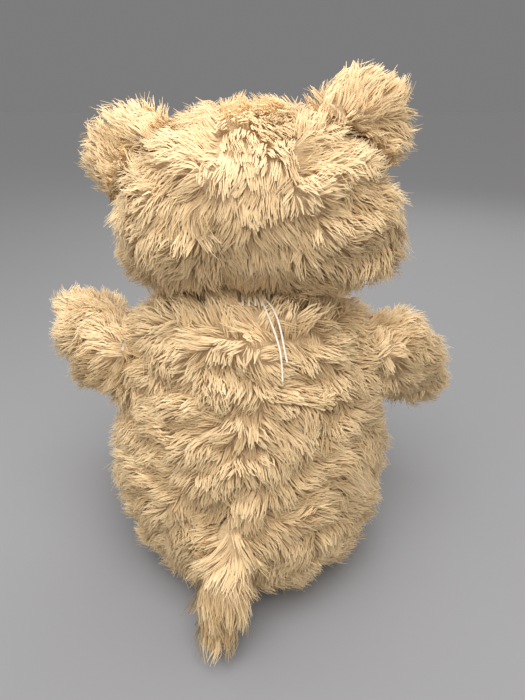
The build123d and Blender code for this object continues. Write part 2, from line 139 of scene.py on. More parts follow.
class Finish(Patterns):
    """A material. What is the same all over it is set on its shader, by the socket's name."""

    def __init__(self, name, **constants):
        self.material = bpy.data.materials.new(name)
        super().__init__(self.material)
        self.shader = self.tree.nodes["Principled BSDF"]
        for socket, value in constants.items():
            self.shader.inputs[socket.replace("_", " ")].default_value = value

    def place(self):
        return self.node("ShaderNodeTexCoord", {}, {}, "Object")

    def noise(self, scale, detail=4.0, roughness=0.6, at=None):
        sockets = {"Vector": at or self.place(), "Scale": scale, "Detail": detail, "Roughness": roughness}
        return self.node("ShaderNodeTexNoise", {}, sockets, "Fac")

    def ramp(self, value, *stops):
        return self.node("ShaderNodeValToRGB", {"stops": stops}, {"Fac": value}, "Color")

    def mix(self, share, first, second, blend="MIX"):
        kinds = {"data_type": "RGBA", "blend_type": blend}
        return self.node("ShaderNodeMix", kinds, {0: share, 6: first, 7: second}, 2)

    def feed(self, socket, value):
        self.tree.links.new(value.socket, self.shader.inputs[socket])

    def colour(self, pattern, *stops):
        self.feed("Base Color", self.ramp(pattern, *stops))

    def bump(self, height, strength, distance):
        sockets = {"Height": height, "Strength": strength, "Distance": distance}
        self.feed("Normal", self.node("ShaderNodeBump", {}, sockets))

    def plies(self, scale, bands="X"):
        """The turns of a twisted thread."""
        sockets = {"Vector": self.place(), "Scale": scale}
        return self.node("ShaderNodeTexWave", {"bands_direction": bands}, sockets, "Fac")


FLOOR_SIZE = 16.0
bpy.ops.object.select_all(action="DESELECT")
bpy.ops.mesh.primitive_plane_add(size=FLOOR_SIZE)
floor = bpy.context.object
floor.name = "floor"
grey_floor = Finish("grey_floor", Base_Color=(0.26, 0.26, 0.27, 1.0), Roughness=0.9)
floor.data.materials.append(grey_floor.material)

world = bpy.data.worlds.new("studio")
bpy.context.scene.world = world
sky = Patterns(world)
camera_ray, glossy_ray, clear_ray = (
    sky.node("ShaderNodeLightPath", {}, {}, ray)
    for ray in ("Is Camera Ray", "Is Glossy Ray", "Is Transmission Ray")
)
sky_light = sky.node("ShaderNodeBackground", {}, {"Color": (1.0, 0.98, 0.95, 1.0), "Strength": 0.82})
sky_seen = sky.node("ShaderNodeBackground", {}, {"Color": (0.207, 0.203, 0.205, 1.0)})
seen = camera_ray + glossy_ray + clear_ray
whole_sky = sky.node("ShaderNodeMixShader", {}, {0: seen, 1: sky_light, 2: sky_seen})
sky.tree.links.new(whole_sky.socket, sky.tree.nodes["World Output"].inputs["Surface"])

LAMPS = (
    ("key", (0.1, 0.38, 1.0), 0.8, 10.2),
    ("fill", (-0.5, -1.1, 1.1), 1.2, 7.0),
)
LAMPS_AIM = Vector((0.0, 0.0, 0.15))
for name, place, width, watts in LAMPS:
    lamp_data = bpy.data.lights.new(name, "AREA")
    lamp_data.size = width
    lamp_data.energy = watts
    lamp = placed(name, lamp_data)
    lamp.location = place
    lamp.rotation_euler = (Vector(place) - LAMPS_AIM).to_track_quat("Z", "Y").to_euler()


# Closing thread. Cream twisted thread shut the back after filling, with a row of stitches at the nape.
# Its two loose ends hang from the last stitch and lie down the fur, each on one smooth line.
def refinish(node, finish):
    """Gives a finish to a CAD node whose shape stays."""
    frame["nodes"][node].data.materials.clear()
    frame["nodes"][node].data.materials.append(finish.material)


THREAD_THICKNESS = 0.0013
THREAD_ENDS = {  # each end's length, then the points that steer it
    "long_thread_end": (
        0.0610,
        (-0.0088, 0.0234, 0.2504),
        (-0.0102, 0.0296, 0.2490),
        (-0.0132, 0.0364, 0.2442),
        (-0.0164, 0.0418, 0.2374),
        (-0.0194, 0.0472, 0.2302),
        (-0.0220, 0.0532, 0.2208),
        (-0.0226, 0.0598, 0.2066),
    ),
    "short_thread_end": (
        0.0521,
        (-0.0096, 0.0212, 0.2515),
        (-0.0136, 0.0272, 0.2506),
        (-0.0184, 0.0352, 0.2454),
        (-0.0216, 0.0434, 0.2364),
        (-0.0236, 0.0500, 0.2266),
        (-0.0256, 0.0550, 0.2184),
    ),
}
thread_finish = Finish("thread", Roughness=0.55, Sheen_Weight=0.3)
thread_plies = thread_finish.plies(900.0)
thread_finish.colour(thread_plies, (0.0, (0.72, 0.64, 0.50)), (1.0, (0.93, 0.88, 0.76)))
thread_finish.bump(thread_plies, 0.4, 0.0002)
refinish("nape_stitches", thread_finish)
for name, (length, *points) in THREAD_ENDS.items():
    curve = bpy.data.curves.new(name, "CURVE")
    curve.dimensions = "3D"
    curve.bevel_depth = THREAD_THICKNESS / 2
    curve.bevel_resolution = 3
    curve.use_fill_caps = True
    curve.resolution_u = 8
    spline = curve.splines.new("NURBS")
    spline.points.add(len(points) - 1)
    for point, place in zip(spline.points, points):
        point.co = (*place, 1.0)
    spline.order_u = 3
    spline.use_endpoint_u = True
    thread = placed(f"loose_{name}", curve)
    curve.materials.append(thread_finish.material)
    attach(thread, "torso")
    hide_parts(name)


# Torso cloth and stuffing. The knitted backing that carries the pile is sewn in two halves round a loose
# white filling. It lies under the torso's outline by the depth of its pile, and stays flat at the neck,
# shoulders and hips, where the discs of the joints press it.
TORSO_COVERS = ("torso_left_cover", "torso_right_cover")
TORSO_PARTS = (*TORSO_COVERS, "joint_back_discs", "torso_filling")
TORSO_JOINTS = ("neck_turn", "left_shoulder_turn", "right_shoulder_turn", "left_hip_turn", "right_hip_turn")
PILE_DEPTH = 0.0088
BACKING = 0.0008
DISC_REACH = 0.030  # from a joint's axis to the rim of its disc
DISC_FADE = 0.008  # past the rim, the cloth comes free over this width
DISC_GAP = 0.004  # cloth nearer than this to a joint's plane is pressed
DISC_PRESS = 0.7  # how much of the pile's depth is pressed out
STUFFING_GAP = 0.005  # from the backing in to the filling
STUFFING_EASE = 0.75  # how far the filling follows a cloth that is drawn in less
STUFFING_GRAIN = 0.005
TORSO_GRAIN = 0.004
NAPE_HEIGHT = 0.232  # above this the back is nape
FLANK_HEIGHT = 0.12  # below this the sides are flanks
backing_finish = Finish("backing", Roughness=0.9)
knit = backing_finish.noise(420.0)
backing_finish.colour(knit, (0.3, (0.44, 0.30, 0.16)), (0.7, (0.60, 0.43, 0.25)))
backing_finish.bump(knit, 0.5, 0.0005)
filling_finish = Finish("filling", Roughness=0.9)
wads = filling_finish.noise(60.0, 8.0, 0.7)
filling_finish.colour(wads, (0.3, (0.74, 0.73, 0.70)), (0.7, (0.93, 0.92, 0.90)))
filling_finish.bump(wads, 0.8, 0.002)


def solid_copy(name, nodes, grain):
    """One closed skin over the outside of several CAD nodes, its facets melted into a smooth form.

    What lies inside, such as the far side of a wall, is left off: only the mesh with the highest point stays.
    """
    bpy.ops.object.select_all(action="DESELECT")
    for node in nodes:
        copy = placed(name, frame["nodes"][node].data.copy())
        copy.select_set(True)
        bpy.context.view_layer.objects.active = copy
    if len(nodes) > 1:
        bpy.ops.object.join()
    skin = bpy.context.object
    skin.name = name
    skin.data.materials.clear()
    remesh = skin.modifiers.new("remesh", "REMESH")
    remesh.mode = "VOXEL"
    remesh.voxel_size = grain
    bpy.ops.object.modifier_apply(modifier=remesh.name)
    bpy.ops.object.mode_set(mode="EDIT")
    bpy.ops.mesh.select_all(action="DESELECT")
    bpy.ops.object.mode_set(mode="OBJECT")
    max(skin.data.vertices, key=lambda vertex: vertex.co.z).select = True
    bpy.ops.object.mode_set(mode="EDIT")
    bpy.ops.mesh.select_linked()
    bpy.ops.mesh.select_all(action="INVERT")
    bpy.ops.mesh.delete(type="VERT")
    bpy.ops.object.mode_set(mode="OBJECT")
    smooth = skin.modifiers.new("smooth", "LAPLACIANSMOOTH")
    smooth.iterations = 8
    smooth.lambda_factor = 1.2
    bpy.ops.object.modifier_apply(modifier=smooth.name)
    bpy.ops.object.shade_smooth()
    return skin


def rising(values, start, width):
    """From 0 at the start to 1 at this width past it."""
    return np.clip((values - start) / width, 0, 1)


def points_of(mesh, what="co"):
    """Every vertex's place or normal."""
    values = np.zeros(len(mesh.vertices) * 3, np.float32)
    mesh.vertices.foreach_get(what, values)
    return values.reshape(-1, 3).astype(float)


def reshape(piece, places):
    """Moves a piece's vertices to these places."""
    piece.data.vertices.foreach_set("co", places.ravel())
    piece.data.update()


def cloth(name, nodes, grain, joints=(), depth=PILE_DEPTH, ease=None):
    """A skin drawn in along its normals, less where one of these joints' discs presses it flat.

    ease gives the share of the depth at each place, where that is not all of it.
    """
    piece = solid_copy(name, nodes, grain)
    places = points_of(piece.data)
    normals = points_of(piece.data, "normal")
    share = np.ones(len(places))
    for joint in frame["joints"]:
        if joint["name"] in joints:
            axis = np.array(joint["axis"])
            offset = places - np.array(joint["pos_m"])
            along = offset @ axis
            aside = np.linalg.norm(offset - along[:, None] * axis, axis=1)
            near = (np.abs(along) < DISC_GAP) * rising(DISC_REACH + DISC_FADE - aside, 0, DISC_FADE)
            share = np.minimum(share, 1 - DISC_PRESS * near)
    if ease:
        share *= ease(places)
    reshape(piece, places - normals * (depth * share)[:, None])
    return piece


def as_shell(piece, body, *covers):
    """Gives a backing its thickness and fixes it to its body, in place of its CAD covers."""
    bpy.ops.object.select_all(action="DESELECT")
    piece.select_set(True)
    bpy.context.view_layer.objects.active = piece
    wall = piece.modifiers.new("wall", "SOLIDIFY")
    wall.thickness = BACKING
    wall.offset = -1.0
    bpy.ops.object.modifier_apply(modifier=wall.name)
    piece.data.materials.append(backing_finish.material)
    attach(piece, body)
    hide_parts(*covers)


def stuffing(name, body, nodes, joints, ease=None):
    """The polyester filling behind a backing, in place of its plain CAD form, the last of these nodes."""
    follow = ease and (lambda places: 1 - STUFFING_EASE + STUFFING_EASE * ease(places))
    fill = cloth(name, nodes, STUFFING_GRAIN, joints, PILE_DEPTH + STUFFING_GAP, follow)
    fill.data.materials.append(filling_finish.material)
    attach(fill, body)
    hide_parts(nodes[-1])


def torso_ease(places):
    """The torso's pile is shallow at the nape and deep low on the flanks."""
    nape = rising(places[:, 2], NAPE_HEIGHT, 0.01) * rising(places[:, 1], 0, 0.01)
    flank = rising(FLANK_HEIGHT - places[:, 2], 0, 0.05) * rising(abs(places[:, 0]), 0.03, 0.03)
    return 1 - 0.65 * nape + 0.45 * flank


torso = cloth("torso_backing", TORSO_PARTS, TORSO_GRAIN, TORSO_JOINTS, ease=torso_ease)
stuffing("torso_stuffing", "torso", TORSO_PARTS, TORSO_JOINTS, torso_ease)


# Head cloth and pile. A centre strip runs from the nose over the crown to the nape between two side
# panels. All is long plush that stands in locks: fibres that start apart in the knitted backing, lie over
# and draw together at their tips. The strip's is combed straight, the sides' whorls out from the back.
HEAD_COVERS = ("head_left_cover", "head_right_cover", "head_gusset")
HEAD_PARTS = (*HEAD_COVERS, "neck_stem_disc", "head_filling")
EYES = ("left_eye", "right_eye")
strip_low, strip_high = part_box("head_gusset")
HEAD_ASIDE = strip_low.x / 2 + strip_high.x / 2
STRIP = (strip_high.x - strip_low.x) / 2
EYE_MIDDLES = [np.array((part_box(eye)[0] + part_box(eye)[1]) / 2) for eye in EYES]
HEAD_GRAIN = 0.004
HEAD_PILE_DEPTH = 0.0082
WHORL = np.array((HEAD_ASIDE, 0.045, 0.362))
MUZZLE_MIDDLE = np.array((HEAD_ASIDE, -0.12, 0.29))
HEAD_DROOP = np.array((0.0, 0.0, -0.35))
FACE_EDGE = -0.07  # before it the pile lies out from the muzzle, and 40 mm behind it, out from the whorl
FACE_BLEND = 0.04
EYES_CLEARING = 0.035  # the cloth is drawn in fully this far from an eye
EYES_TRIM = 0.038  # and the pile is at its full length this far from one

FUR_SPACING = 0.00175
STATIONS = np.array((0.0, 0.5, 1.0))  # where a fibre has a ring of corners, from root to tip
GIRTH = np.array((0.8, 1.0, 0.4))  # and its girth there
FIBRE_SIDES = 3
FIBRE_FLATNESS = 0.55
FIBRE_ROUNDNESS = 0.7
PELT_SHARE = 0.7  # how far a fibre is shaded as its pelt, the rest as itself
MAP_TONES = 0.94  # a fibre's place across its map is its tone
MAP_GIRTH = 0.05  # and it is as wide there as this girth is to the whole map
MAP_EDGE = 0.005
MAP_END = 0.02
UNDERSIDE_SHADING = (0.9, -0.4)  # along the fibre and out of its upper side
WAVES_MIXED = 8
WAVES_HEIGHT = 2.4
LOCK_ROUNDS = 3
RIDGES = (0.8, 0.8, 1.7)  # the ruffled pile's ridges are longer than they are high
RIDGE_WAVES = (0.042, 16)  # the length of these waves and their seed
RIDGE_STEEPNESS = 1.8
SLOPE_STEP = 0.002
RISE_ON_RIDGES = 22.0  # degrees
# painted light and shade: locks on the pelt's ridges are painted paler and locks in its furrows darker
PAINTED_RIDGE_LIGHT_AND_SHADE = 0.44
RISE_LIMITS = (4.0, 75.0)
TURN_VARIES = (1.0, 0.05, 11, 0.22)  # by how much in waves, their length, their seed; how much by chance
SIZE_VARIES = (0.12, 0.04, 12, 0.05)
RISE_VARIES = (10.0, 0.03, 13, 7.0)
BEND_VARIES = (0.3, 0.03, 14, 0.13)
TONE_VARIES = (0.14, 0.035, 15, 0.11)
UNDERCOAT = 0.42  # the share of the fibres that lie low, short and wide, and are painted darker as painted shade under the top coat
UNDERCOAT_LENGTH = 0.8
UNDERCOAT_GIRTH = 2.8
# painted shade: the undercoat lies low under the top coat and is painted this much darker
UNDERCOAT_PAINTED_SHADE = -0.15
UNDERCOAT_TOGETHER = 0.1
UNDERCOAT_DROP = radians(9)
FLATTEST = radians(5)
FIBRE_ARCH = (2.2, -1.25)  # a fibre starts steeply and bends over
FIBRE_REACH = 1.2
TOGETHER_BY = 0.6  # how far along its fibres have drawn together as much as they do
OWN_LENGTH = (0.88, 1.06)
OWN_GIRTH = (0.75, 1.2)
OWN_TONE = 0.09
OWN_FACING = 0.3
PELT_FACING = (0.6, 0.4, 0.25)  # of the backing's normal, the lock's and the way that the lock lies
TONE_LIMITS = (0.02, 0.98)
FLOOR_CLEARANCE = 0.0012


def waves(places, length, seed):
    """A smooth field from about -1 to 1, its waves about as long as given."""
    draw = np.random.default_rng(seed)
    ways = draw.normal(size=(WAVES_MIXED, 3))
    turns = 2 * pi / length * draw.uniform(0.5, 1.5, (WAVES_MIXED, 1))
    ways *= turns / np.linalg.norm(ways, axis=1, keepdims=True)
    return np.sin(places @ ways.T + draw.uniform(0, 2 * pi, WAVES_MIXED)).sum(1) / WAVES_HEIGHT


def unit(vectors):
    """These vectors at a length of 1."""
    return vectors / np.maximum(np.linalg.norm(vectors, axis=-1, keepdims=True), 1e-9)


def sow(body, spacing, draw):
    """Fibre roots over a mesh, about as far apart as the spacing, with the normals there."""
    mesh = body.data
    mesh.calc_loop_triangles()
    corners = np.zeros(len(mesh.loop_triangles) * 3, np.int32)
    mesh.loop_triangles.foreach_get("vertices", corners)
    corners = corners.reshape(-1, 3)
    places = points_of(mesh)[corners]
    normals = points_of(mesh, "normal")[corners]
    area = np.linalg.norm(np.cross(places[:, 1] - places[:, 0], places[:, 2] - places[:, 0]), axis=1) / 2
    count = int(area.sum() / spacing**2)
    reach = np.cumsum(area) / area.sum()
    pick = np.minimum(np.searchsorted(reach, (np.arange(count) + draw.random(count)) / count), len(area) - 1)
    share = draw.random((count, 2))
    share = np.where(share.sum(1, keepdims=True) > 1, 1 - share, share)
    share = np.c_[1 - share.sum(1), share][:, :, None]
    return (places[pick] * share).sum(1), unit((normals[pick] * share).sum(1))


def gather(roots, size, draw):
    """Shares the roots out to locks of about this many fibres. Returns each root's lock and its middle."""
    count = max(4, int(len(roots) / size))
    middles = roots[draw.permutation(len(roots))[:count]]
    for _ in range(LOCK_ROUNDS):
        tree = KDTree(len(middles))
        for index, place in enumerate(middles):
            tree.insert(place, index)
        tree.balance()
        lock = np.array([tree.find(place)[1] for place in roots])
        held = np.maximum(np.bincount(lock, minlength=len(middles)), 1)
        middles = np.stack([np.bincount(lock, roots[:, k], len(middles)) / held for k in range(3)], 1)
    return lock, middles


def fibre_faces():
    """The faces of one fibre by their corners: its root, its tip, then its sides from ring to ring."""
    ring = np.arange(FIBRE_SIDES)
    tip = (len(STATIONS) - 1) * FIBRE_SIDES
    faces = [ring, tip + ring[::-1]]
    for low in range(0, tip, FIBRE_SIDES):
        for here, after in zip(ring + low, np.roll(ring, -1) + low):
            faces.append((after, here, here + FIBRE_SIDES, after + FIBRE_SIDES))
    return faces


def strands(name, lines, girth, across, pelt, tone, body):
    """Closed fibres as one mesh: each is three-sided, runs through its stations and is cut off at its tip.

    girth, tone and the way its flat side faces, across, are given for each fibre. It is shaded partly as
    the pelt that it lies in, so that light falls on the locks and not on every fibre by itself.
    """
    count = len(lines)
    rings = len(STATIONS)
    along = unit(lines[:, 1:] - lines[:, :-1])
    along = np.concatenate([along, along[:, -1:]], 1)
    side = unit(np.cross(along, across[:, None, :]))
    rise = np.cross(side, along)
    angles = 2 * pi * np.arange(FIBRE_SIDES) / FIBRE_SIDES + pi / 2
    beside = side[:, :, None, :] * np.cos(angles)[:, None]
    above = rise[:, :, None, :] * np.sin(angles)[:, None]
    around = (beside + FIBRE_FLATNESS * above) * (girth[:, None, None, None] / 2 * GIRTH[:, None, None])
    points = (lines[:, :, None, :] + around).reshape(-1, 3)
    pelt = pelt[:, None, None, :]
    own_shading = unit(FIBRE_ROUNDNESS * beside + rise[:, :, None, :])
    shading = unit(PELT_SHARE * pelt + (1 - PELT_SHARE) * own_shading).reshape(count, -1, 3)

    faces = fibre_faces()
    sizes = np.array([len(face) for face in faces])
    pattern = np.concatenate(faces)
    first = np.arange(count)[:, None]
    mesh = bpy.data.meshes.new(name)
    mesh.vertices.add(len(points))
    mesh.vertices.foreach_set("co", points.ravel())
    mesh.loops.add(count * len(pattern))
    mesh.loops.foreach_set("vertex_index", (first * rings * FIBRE_SIDES + pattern).ravel().astype(np.int32))
    mesh.polygons.add(count * len(faces))
    starts = first * len(pattern) + np.cumsum(sizes) - sizes
    mesh.polygons.foreach_set("loop_start", starts.ravel().astype(np.int32))
    mesh.polygons.foreach_set("use_smooth", np.ones(count * len(faces), bool))
    mesh.update(calc_edges=True)

    walls = len(faces) - 2
    sideways = np.concatenate([[0, 0.5, 1], [1, 0.5, 0]] + [[1, 0, 0, 1]] * walls)
    level = STATIONS[pattern // FIBRE_SIDES]
    uv = np.empty((count, len(pattern), 2))
    uv[:, :, 0] = tone[:, None] * MAP_TONES + sideways * (girth[:, None] / MAP_GIRTH) + MAP_EDGE
    uv[:, :, 1] = MAP_END + (1 - 2 * MAP_END) * level
    layer = mesh.uv_layers.new(name="OFBake")
    layer.data.foreach_set("uv", uv.astype(np.float32).ravel())

    corner_shading = shading[:, pattern]
    corner_shading[:, FIBRE_SIDES:2 * FIBRE_SIDES] = along[:, -1:]
    lengthwise, outward = UNDERSIDE_SHADING
    for under in range(1, walls, FIBRE_SIDES):
        corners = 2 * FIBRE_SIDES + 4 * under + np.arange(4)
        ring = pattern[corners] // FIBRE_SIDES
        corner_shading[:, corners] = unit(lengthwise * along[:, ring] + outward * rise[:, ring])
    mesh.normals_split_custom_set(corner_shading.reshape(-1, 3).tolist())
    piece = placed(name, mesh)
    mesh.materials.append(fur_finish.material)
    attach(piece, body)


def in_ridges(roots, normals, swell):
    """Raises the pelt in ridges by up to swell. Returns the new roots and normals, and how far each rose."""

    def height(places):
        ridges = np.tanh(RIDGE_STEEPNESS * waves(places * RIDGES, *RIDGE_WAVES))
        return swell * (0.5 + 0.5 * ridges)

    steps = np.eye(3) * SLOPE_STEP
    slope = np.stack([height(roots + step) - height(roots - step) for step in steps], 1) / (2 * SLOPE_STEP)
    slope -= (slope * normals).sum(1, keepdims=True) * normals
    raised = height(roots)
    return roots + normals * raised[:, None], unit(normals - slope), raised


def varied(places, draw, in_waves, length, seed, by_chance):
    """How far one quality of the locks at these places is from what is usual."""
    return in_waves * waves(places, length, seed) + by_chance * draw.normal(size=len(places))


def pile(
    roots,
    normals,
    comb,
    length,
    lay,
    lock_size,
    draw,
    draw_together=0.06,
    ruffle=32.0,
    frizz=0.11,
    tone=0.68,
    girth=0.00062,
    trim=None,
    swell=0.005,
):
    """Fibres in locks over these roots. comb gives the way they lie; lay is their rise in degrees.

    A lock on a ridge of the pelt stands higher than one in a furrow, and is painted paler as painted light;
    a lock in a furrow is painted darker as painted shade. ruffle, in degrees, and frizz turn the locks and
    the fibres out of the comb's way. trim gives the share of the length left.
    """
    roots, normals, raised = in_ridges(roots, normals, swell)
    lock, middles = gather(roots, lock_size, draw)
    count = len(middles)
    held = np.maximum(np.bincount(lock, minlength=count), 1)
    upright = unit(np.stack([np.bincount(lock, normals[:, k], count) / held for k in range(3)], 1))
    way = comb(middles, upright)
    way = unit(way - (way * upright).sum(1, keepdims=True) * upright)
    turn = np.radians(ruffle * varied(middles, draw, *TURN_VARIES))[:, None]
    way = way * np.cos(turn) + np.cross(upright, way) * np.sin(turn)
    side = np.cross(upright, way)
    size = length * (1 + varied(middles, draw, *SIZE_VARIES))
    if trim:
        size *= trim(middles)
    crest = np.bincount(lock, raised, count) / held / max(swell, 1e-6) - 0.5  # 0.5 on a ridge's top
    rise = lay + RISE_ON_RIDGES * crest + varied(middles, draw, *RISE_VARIES)
    rise = np.radians(np.clip(rise, *RISE_LIMITS))
    bend = varied(middles, draw, *BEND_VARIES)
    # painted light on the ridges and painted shade in the furrows, plus the locks' own tone that differs in
    # waves and at random
    painted_ridge_shade_and_tone = PAINTED_RIDGE_LIGHT_AND_SHADE * crest + varied(middles, draw, *TONE_VARIES)

    fibres = len(roots)
    own = size[lock] * draw.uniform(*OWN_LENGTH, fibres)
    under = draw.random(fibres) < UNDERCOAT
    own[under] *= UNDERCOAT_LENGTH
    lean = np.where(under, np.maximum(rise[lock] - UNDERCOAT_DROP, FLATTEST), rise[lock])
    drift = draw.normal(0, frizz, (fibres, 2))
    lines = np.empty((fibres, len(STATIONS), 3))
    for station, t in enumerate(STATIONS):
        out = np.sin(lean) * (FIBRE_ARCH[0] * t + FIBRE_ARCH[1] * t**2)
        over = np.cos(lean) * t**FIBRE_REACH
        aside = (bend[lock] + drift[:, 0]) * t**2
        line = over[:, None] * way[lock] + aside[:, None] * side[lock]
        line += (out + drift[:, 1] * t**2)[:, None] * (normals * (1 - t) + upright[lock] * t)
        together = np.where(under, UNDERCOAT_TOGETHER, draw_together) * min(1.0, t / TOGETHER_BY)
        lines[:, station] = roots + own[:, None] * line + together[:, None] * (middles[lock] - roots)
    lines[:, :, 2] = np.maximum(lines[:, :, 2], FLOOR_CLEARANCE)
    # each fibre's tone: its own random tone, with the painted light and shade of ridges and furrows and the
    # undercoat's painted shade
    tone_with_painted_light_and_shade = tone + painted_ridge_shade_and_tone[lock] + draw.normal(0, OWN_TONE, fibres) + UNDERCOAT_PAINTED_SHADE * under
    facing = unit(normals + draw.normal(0, OWN_FACING, normals.shape))
    by_backing, by_lock, by_way = PELT_FACING
    pelt = by_backing * normals + by_lock * upright[lock] + by_way * np.sin(rise)[lock][:, None] * way[lock]
    girth = girth * draw.uniform(*OWN_GIRTH, fibres) * np.where(under, UNDERCOAT_GIRTH, 1.0)
    return lines, girth, facing, unit(pelt), np.clip(tone_with_painted_light_and_shade, *TONE_LIMITS)


SHEEN_TINT = (1.0, 0.86, 0.62, 1.0)
fur_finish = Finish("fur", Roughness=0.62, Sheen_Weight=0.2, Sheen_Roughness=0.45, Sheen_Tint=SHEEN_TINT)
on_fibre = fur_finish.node("ShaderNodeUVMap", {"uv_map": "OFBake"}, {})
across_fibre = fur_finish.node("ShaderNodeSeparateXYZ", {}, {0: on_fibre}, "X")
up_fibre = fur_finish.node("ShaderNodeSeparateXYZ", {}, {0: on_fibre}, "Y")
# painted shade: each fibre is painted darker towards its root, as the shade deep in the pile, and palest at
# its tip
fibre_colour_with_root_shade = fur_finish.ramp(
    up_fibre,
    (0.0, (0.75, 0.54, 0.31)),
    (0.35, (0.93, 0.69, 0.40)),
    (0.75, (0.98, 0.75, 0.44)),
    (1.0, (1.0, 0.81, 0.52)),
)
fibre_tone = fur_finish.ramp(
    across_fibre,
    (0.0, (0.50, 0.43, 0.35)),
    (0.3, (0.83, 0.79, 0.73)),
    (0.6, (0.96, 0.94, 0.91)),
    (1.0, (1.0, 1.0, 1.0)),
)
hairs_at = fur_finish.node("ShaderNodeMapping", {}, {"Vector": on_fibre, "Scale": (190.0, 2.0, 1.0)})
hairs = fur_finish.noise(1.0, 2.0, 0.5, hairs_at)
hairs = fur_finish.ramp(hairs, (0.35, (0.84, 0.80, 0.74)), (0.62, (1.0, 1.0, 1.0)))
fibre_tone = fur_finish.mix(1.0, fibre_tone, hairs, "MULTIPLY")
fur_finish.feed("Base Color", fur_finish.mix(1.0, fibre_colour_with_root_shade, fibre_tone, "MULTIPLY"))


def clear_of(roots, others, gap):
    """Which roots have room for pile: those further than the gap from these other parts' skins."""
    room = np.ones(len(roots), bool)
    for other in others:
        corners = [vertex.co for vertex in other.data.vertices]
        tree = BVHTree.FromPolygons(corners, [face.vertices for face in other.data.polygons])
        room &= np.array([tree.find_nearest(place, gap)[0] is None for place in roots])
    return room


def everywhere(places):
    """The test of a region that is the whole part."""
    return np.ones(len(places), bool)


def grow(skin, body, spacing, seed, regions, crowding=(), gap=0.006, **style):
    """Grows the pile of one part and keeps it as one piece for each region, named and picked by a test."""
    draw = np.random.default_rng(seed)
    roots, normals = sow(skin, spacing, draw)
    if crowding:
        room = clear_of(roots, crowding, gap)
        roots, normals = roots[room], normals[room]
    made = pile(roots, normals, draw=draw, **style)
    for name, test in regions.items():
        part = test(roots)
        strands(name, *(values[part] for values in made), body)


def from_eyes(places):
    """How far each place is from the nearer eye."""
    return np.min([np.linalg.norm(places - middle, axis=1) for middle in EYE_MIDDLES], axis=0)


def head_ease(places):
    """The head's pile is shallow round the eyes, which sit on the backing."""
    return np.clip(from_eyes(places) / EYES_CLEARING, 0.3, 1)


head = cloth("head_backing", HEAD_PARTS, HEAD_GRAIN, ("neck_turn",), HEAD_PILE_DEPTH, head_ease)
stuffing("head_stuffing", "head", HEAD_PARTS, ("neck_turn",), head_ease)


def whorl(places, normals):
    """The comb of the head: out from the whorl behind and from the muzzle in front, and a little down."""
    behind = unit(places - WHORL) + HEAD_DROOP
    before = unit(places - MUZZLE_MIDDLE)
    share = rising(places[:, 1:2], FACE_EDGE, FACE_BLEND)
    return share * behind + (1 - share) * before


def along_strip(places, normals):
    """The comb of the centre strip: from the nose back over the crown and down to the nape."""
    return np.cross(normals, (1.0, 0.0, 0.0))


FACE_PARTS = [frame["nodes"][node] for node in ("muzzle", *EYES)]


def trimmed_face(places):
    """The pile is cut short round the eyes and where the head meets the neck, less so behind."""
    chin = 0.45 + (places[:, 2] - strip_low.z) / 0.03 + 0.4 * rising(places[:, 1], 0, 0.03)
    return np.clip(np.minimum(from_eyes(places) / EYES_TRIM, np.maximum(chin, 0.35)), 0.18, 1.0)


grow(
    head,
    "head",
    spacing=FUR_SPACING,
    seed=21,
    regions={
        "head_left_fur": lambda places: places[:, 0] > HEAD_ASIDE + STRIP,
        "head_right_fur": lambda places: places[:, 0] < HEAD_ASIDE - STRIP,
    },
    comb=whorl,
    length=0.013,
    lay=43.0,
    lock_size=22,
    crowding=FACE_PARTS,
    gap=0.002,
    trim=trimmed_face,
)
grow(
    head,
    "head",
    spacing=FUR_SPACING * 0.95,
    seed=22,
    regions={"head_centre_fur": lambda places: abs(places[:, 0] - HEAD_ASIDE) <= STRIP},
    comb=along_strip,
    length=0.0125,
    lay=32.0,
    lock_size=20,
    draw_together=0.04,
    ruffle=5.0,
    frizz=0.05,
    crowding=FACE_PARTS,
    gap=0.002,
    trim=trimmed_face,
    swell=0.0015,
    # painted light: the centre strip over the crown is painted a little paler, as light falling on the top of
    # the head
    tone=0.72,
)
as_shell(head, "head", *HEAD_COVERS)

# Ears. Two round pads of the same cloth, sewn to the sides of the head, with a lining in front. Their
# pile is painted paler than the rest, as painted light on the ears high on the head, and stands out all
# round.
SIDES = (("left", 1), ("right", -1))
EAR_GRAIN = 0.003
EAR_PILE_DEPTH = 0.0072
EAR_SEAM = 0.028  # the cloth is drawn in fully this far from where the ear is sewn on
EAR_DROOP = np.array((0.0, 0.0, -0.15))
for side, sign in SIDES:
    low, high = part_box(f"{side}_ear")
    ear_root = np.array((low.x if sign > 0 else high.x, (low.y + high.y) / 2, (low.z * 0.7 + high.z * 0.3)))

    def ear_ease(places, inner=ear_root[0]):
        """The ear is drawn in less where it is sewn to the head."""
        return np.clip(abs(places[:, 0] - inner) / EAR_SEAM, 0.1, 1)

    ear = cloth(f"{side}_ear_backing", (f"{side}_ear",), EAR_GRAIN, depth=EAR_PILE_DEPTH, ease=ear_ease)

    def out_of_root(places, normals, ear_root=ear_root):
        """The comb of an ear: away from where it is sewn on."""
        return unit(places - ear_root) + EAR_DROOP

    grow(
        ear,
        "head",
        spacing=FUR_SPACING,
        seed=31 + sign,
        regions={f"{side}_ear_fur": everywhere},
        crowding=(head, frame["nodes"][f"{side}_ear_lining"]),
        gap=0.0008,
        comb=out_of_root,
        length=0.012,
        lay=38.0,
        lock_size=20,
        swell=0.002,
        # painted light: the ears' pile is painted paler than the rest of the same cloth
        tone=0.97,
    )
    as_shell(ear, "head", f"{side}_ear")

